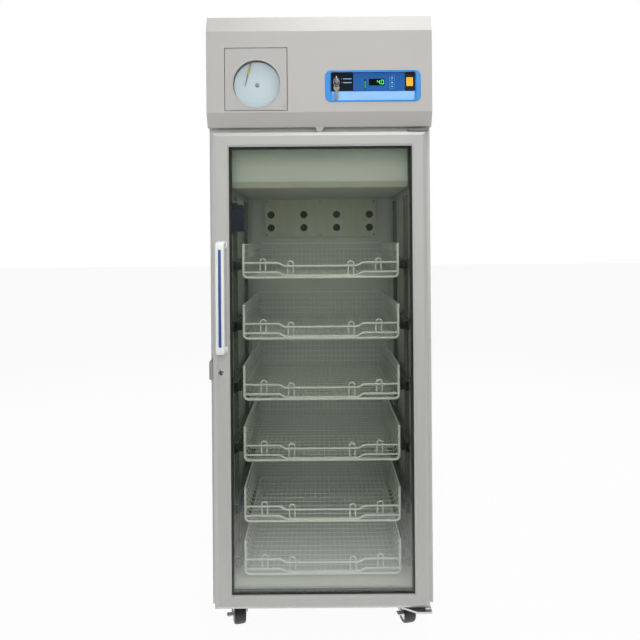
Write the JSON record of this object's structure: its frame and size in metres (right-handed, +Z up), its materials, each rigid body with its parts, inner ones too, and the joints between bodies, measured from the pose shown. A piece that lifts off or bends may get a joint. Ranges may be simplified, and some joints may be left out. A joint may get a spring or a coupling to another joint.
{
  "type": "pharmacy refrigerator",
  "caption": "Upright glass-door pharmacy refrigerator with wire drawers, chart recorder, control panel in a hinged head cover, bar handle and swivel casters.",
  "frame": {"origin": "on the floor under the middle of the whole refrigerator's outer box", "axes": "+Z up, -Y is the front with the door, +X is to the right of someone who faces the door"},
  "size_m": [0.711, 0.916, 1.994],
  "materials": {
    "case_enamel": "satin",
    "foam": "matte",
    "liner_enamel": "satin",
    "door_enamel": "satin",
    "cover_enamel": "satin",
    "white_plastic": "satin",
    "beige_plastic": "satin",
    "blue_plastic": "satin",
    "membrane": "satin",
    "display": "gloss",
    "amber_plastic": "gloss",
    "grey_plastic": "satin",
    "dark_plastic": "satin",
    "navy_plastic": "satin",
    "wire_enamel": "satin",
    "steel": "satin",
    "dark_steel": "satin",
    "aluminium_fins": "satin",
    "chrome": "polished",
    "glass": "clear",
    "clear_plastic": "clear",
    "rubber": "matte",
    "gasket_rubber": "matte",
    "paper": "matte"
  },
  "bodies": {
    "cabinet": {"outer_case": "case_enamel", "insulation": "foam", "inner_liner": "liner_enamel", "rear_bumpers": "rubber", "head_frame": "case_enamel", "rear_grille": "case_enamel", "condenser": "aluminium_fins", "compressor": "dark_steel", "power_inlet": "dark_plastic", "evaporator_housing": "liner_enamel", "light_diffuser": "beige_plastic", "duct_panel": "white_plastic", "probe_bottle": "navy_plastic", "drawer_tracks": "dark_steel", "lock_strike": "dark_plastic", "hinge_brackets": "steel", "caster_mounts": "steel"},
    "condenser_fan": {"condenser_fan": "dark_plastic"},
    "head_cover": {"head_cover": "cover_enamel", "recorder_case": "grey_plastic", "control_bezel": "blue_plastic", "keypad": "membrane", "display_window": "display", "key_switch": "chrome"},
    "recorder_door": {"recorder_door": "white_plastic", "recorder_window": "clear_plastic"},
    "chart": {"chart_disc": "paper"},
    "pen": {"pen_arm": "grey_plastic"},
    "key": {"key": "chrome"},
    "spare_key": {"spare_key": "chrome"},
    "button_up": {"button_up": "membrane"},
    "button_mute": {"button_mute": "membrane"},
    "button_down": {"button_down": "membrane"},
    "power_rocker": {"power_rocker": "amber_plastic"},
    "door": {"door_frame": "door_enamel", "door_glass": "glass", "glazing_bead": "dark_plastic", "door_gasket": "gasket_rubber", "door_handle": "white_plastic", "handle_insert": "blue_plastic"},
    "lock": {"lock_plug": "chrome"},
    "drawer_1": {"drawer_1": "wire_enamel"},
    "drawer_2": {"drawer_2": "wire_enamel"},
    "drawer_3": {"drawer_3": "wire_enamel"},
    "drawer_4": {"drawer_4": "wire_enamel"},
    "drawer_5": {"drawer_5": "wire_enamel"},
    "drawer_6": {"drawer_6": "wire_enamel"},
    "fork_front_left": {"caster_fork_front_left": "steel"},
    "wheel_front_left": {"caster_wheel_front_left": "rubber"},
    "fork_front_right": {"caster_fork_front_right": "steel"},
    "wheel_front_right": {"caster_wheel_front_right": "rubber"},
    "fork_rear_left": {"caster_fork_rear_left": "steel"},
    "wheel_rear_left": {"caster_wheel_rear_left": "rubber"},
    "fork_rear_right": {"caster_fork_rear_right": "steel"},
    "wheel_rear_right": {"caster_wheel_rear_right": "rubber"},
    "brake_front_left": {"caster_brake_front_left": "steel"},
    "brake_front_right": {"caster_brake_front_right": "steel"}
  },
  "joints": [
    {"name": "fan_spin", "type": "hinge", "parent": "cabinet", "child": "condenser_fan", "pos_m": [0.15, -0.137, 1.797], "axis": [0, 1, 0], "continuous": true},
    {"name": "head_cover_lift", "type": "hinge", "parent": "cabinet", "child": "head_cover", "pos_m": [0, -0.364, 1.985], "axis": [-1, 0, 0], "range_deg": [0, 75]},
    {"name": "recorder_door_swing", "type": "hinge", "parent": "head_cover", "child": "recorder_door", "pos_m": [-0.2845, -0.402, 1.7925], "axis": [0, 0, -1], "range_deg": [0, 110]},
    {"name": "chart_turn", "type": "hinge", "parent": "head_cover", "child": "chart", "pos_m": [-0.197, -0.386, 1.778], "axis": [0, 1, 0], "continuous": true},
    {"name": "pen_swing", "type": "hinge", "parent": "head_cover", "child": "pen", "pos_m": [-0.213, -0.3925, 1.862], "axis": [0, 1, 0], "range_deg": [-8, 25]},
    {"name": "key_turn", "type": "hinge", "parent": "head_cover", "child": "key", "pos_m": [0.054, -0.406, 1.787], "axis": [0, 1, 0], "range_deg": [0, 90]},
    {"name": "spare_key_swing", "type": "hinge", "parent": "key", "child": "spare_key", "pos_m": [0.054, -0.415, 1.787], "axis": [0, 1, 0], "range_deg": [-30, 30]},
    {"name": "button_up_press", "type": "slide", "parent": "head_cover", "child": "button_up", "axis": [0, 1, 0], "range_m": [0, 0.001], "stiffness_N_per_m": 400, "springref_m": -0.0005},
    {"name": "button_mute_press", "type": "slide", "parent": "head_cover", "child": "button_mute", "axis": [0, 1, 0], "range_m": [0, 0.001], "stiffness_N_per_m": 400, "springref_m": -0.0005},
    {"name": "button_down_press", "type": "slide", "parent": "head_cover", "child": "button_down", "axis": [0, 1, 0], "range_m": [0, 0.001], "stiffness_N_per_m": 400, "springref_m": -0.0005},
    {"name": "rocker_tip", "type": "hinge", "parent": "head_cover", "child": "power_rocker", "pos_m": [0.2856, -0.394, 1.7825], "axis": [1, 0, 0], "range_deg": [-8, 8]},
    {"name": "door_swing", "type": "hinge", "parent": "cabinet", "child": "door", "pos_m": [0.331, -0.393, 0.874], "axis": [0, 0, 1], "range_deg": [0, 115]},
    {"name": "lock_turn", "type": "hinge", "parent": "door", "child": "lock", "pos_m": [-0.317, -0.408, 0.869], "axis": [0, 1, 0], "range_deg": [0, 90]},
    {"name": "drawer_1_slide", "type": "slide", "parent": "cabinet", "child": "drawer_1", "axis": [0, -1, 0], "range_m": [0, 0.06]},
    {"name": "drawer_2_slide", "type": "slide", "parent": "cabinet", "child": "drawer_2", "axis": [0, -1, 0], "range_m": [0, 0.06]},
    {"name": "drawer_3_slide", "type": "slide", "parent": "cabinet", "child": "drawer_3", "axis": [0, -1, 0], "range_m": [0, 0.06]},
    {"name": "drawer_4_slide", "type": "slide", "parent": "cabinet", "child": "drawer_4", "axis": [0, -1, 0], "range_m": [0, 0.06]},
    {"name": "drawer_5_slide", "type": "slide", "parent": "cabinet", "child": "drawer_5", "axis": [0, -1, 0], "range_m": [0, 0.06]},
    {"name": "drawer_6_slide", "type": "slide", "parent": "cabinet", "child": "drawer_6", "axis": [0, -1, 0], "range_m": [0, 0.06]},
    {"name": "swivel_front_left", "type": "hinge", "parent": "cabinet", "child": "fork_front_left", "pos_m": [-0.2775, -0.285, 0.1077], "axis": [0, 0, 1], "continuous": true},
    {"name": "roll_front_left", "type": "hinge", "parent": "fork_front_left", "child": "wheel_front_left", "pos_m": [-0.28234, -0.26559, 0.038], "axis": [0.9703, 0.2419, 0], "continuous": true},
    {"name": "brake_front_left_press", "type": "hinge", "parent": "fork_front_left", "child": "brake_front_left", "pos_m": [-0.28234, -0.26559, 0.038], "axis": [0.9703, 0.2419, 0], "range_deg": [0, 20]},
    {"name": "swivel_front_right", "type": "hinge", "parent": "cabinet", "child": "fork_front_right", "pos_m": [0.2865, -0.285, 0.1077], "axis": [0, 0, 1], "continuous": true},
    {"name": "roll_front_right", "type": "hinge", "parent": "fork_front_right", "child": "wheel_front_right", "pos_m": [0.28166, -0.26559, 0.038], "axis": [0.9703, 0.2419, 0], "continuous": true},
    {"name": "brake_front_right_press", "type": "hinge", "parent": "fork_front_right", "child": "brake_front_right", "pos_m": [0.28166, -0.26559, 0.038], "axis": [0.9703, 0.2419, 0], "range_deg": [0, 20]},
    {"name": "swivel_rear_left", "type": "hinge", "parent": "cabinet", "child": "fork_rear_left", "pos_m": [-0.282, 0.361, 0.1077], "axis": [0, 0, 1], "continuous": true},
    {"name": "roll_rear_left", "type": "hinge", "parent": "fork_rear_left", "child": "wheel_rear_left", "pos_m": [-0.28684, 0.38041, 0.038], "axis": [0.9703, 0.2419, 0], "continuous": true},
    {"name": "swivel_rear_right", "type": "hinge", "parent": "cabinet", "child": "fork_rear_right", "pos_m": [0.282, 0.361, 0.1077], "axis": [0, 0, 1], "continuous": true},
    {"name": "roll_rear_right", "type": "hinge", "parent": "fork_rear_right", "child": "wheel_rear_right", "pos_m": [0.27716, 0.38041, 0.038], "axis": [0.9703, 0.2419, 0], "continuous": true}
  ]
}
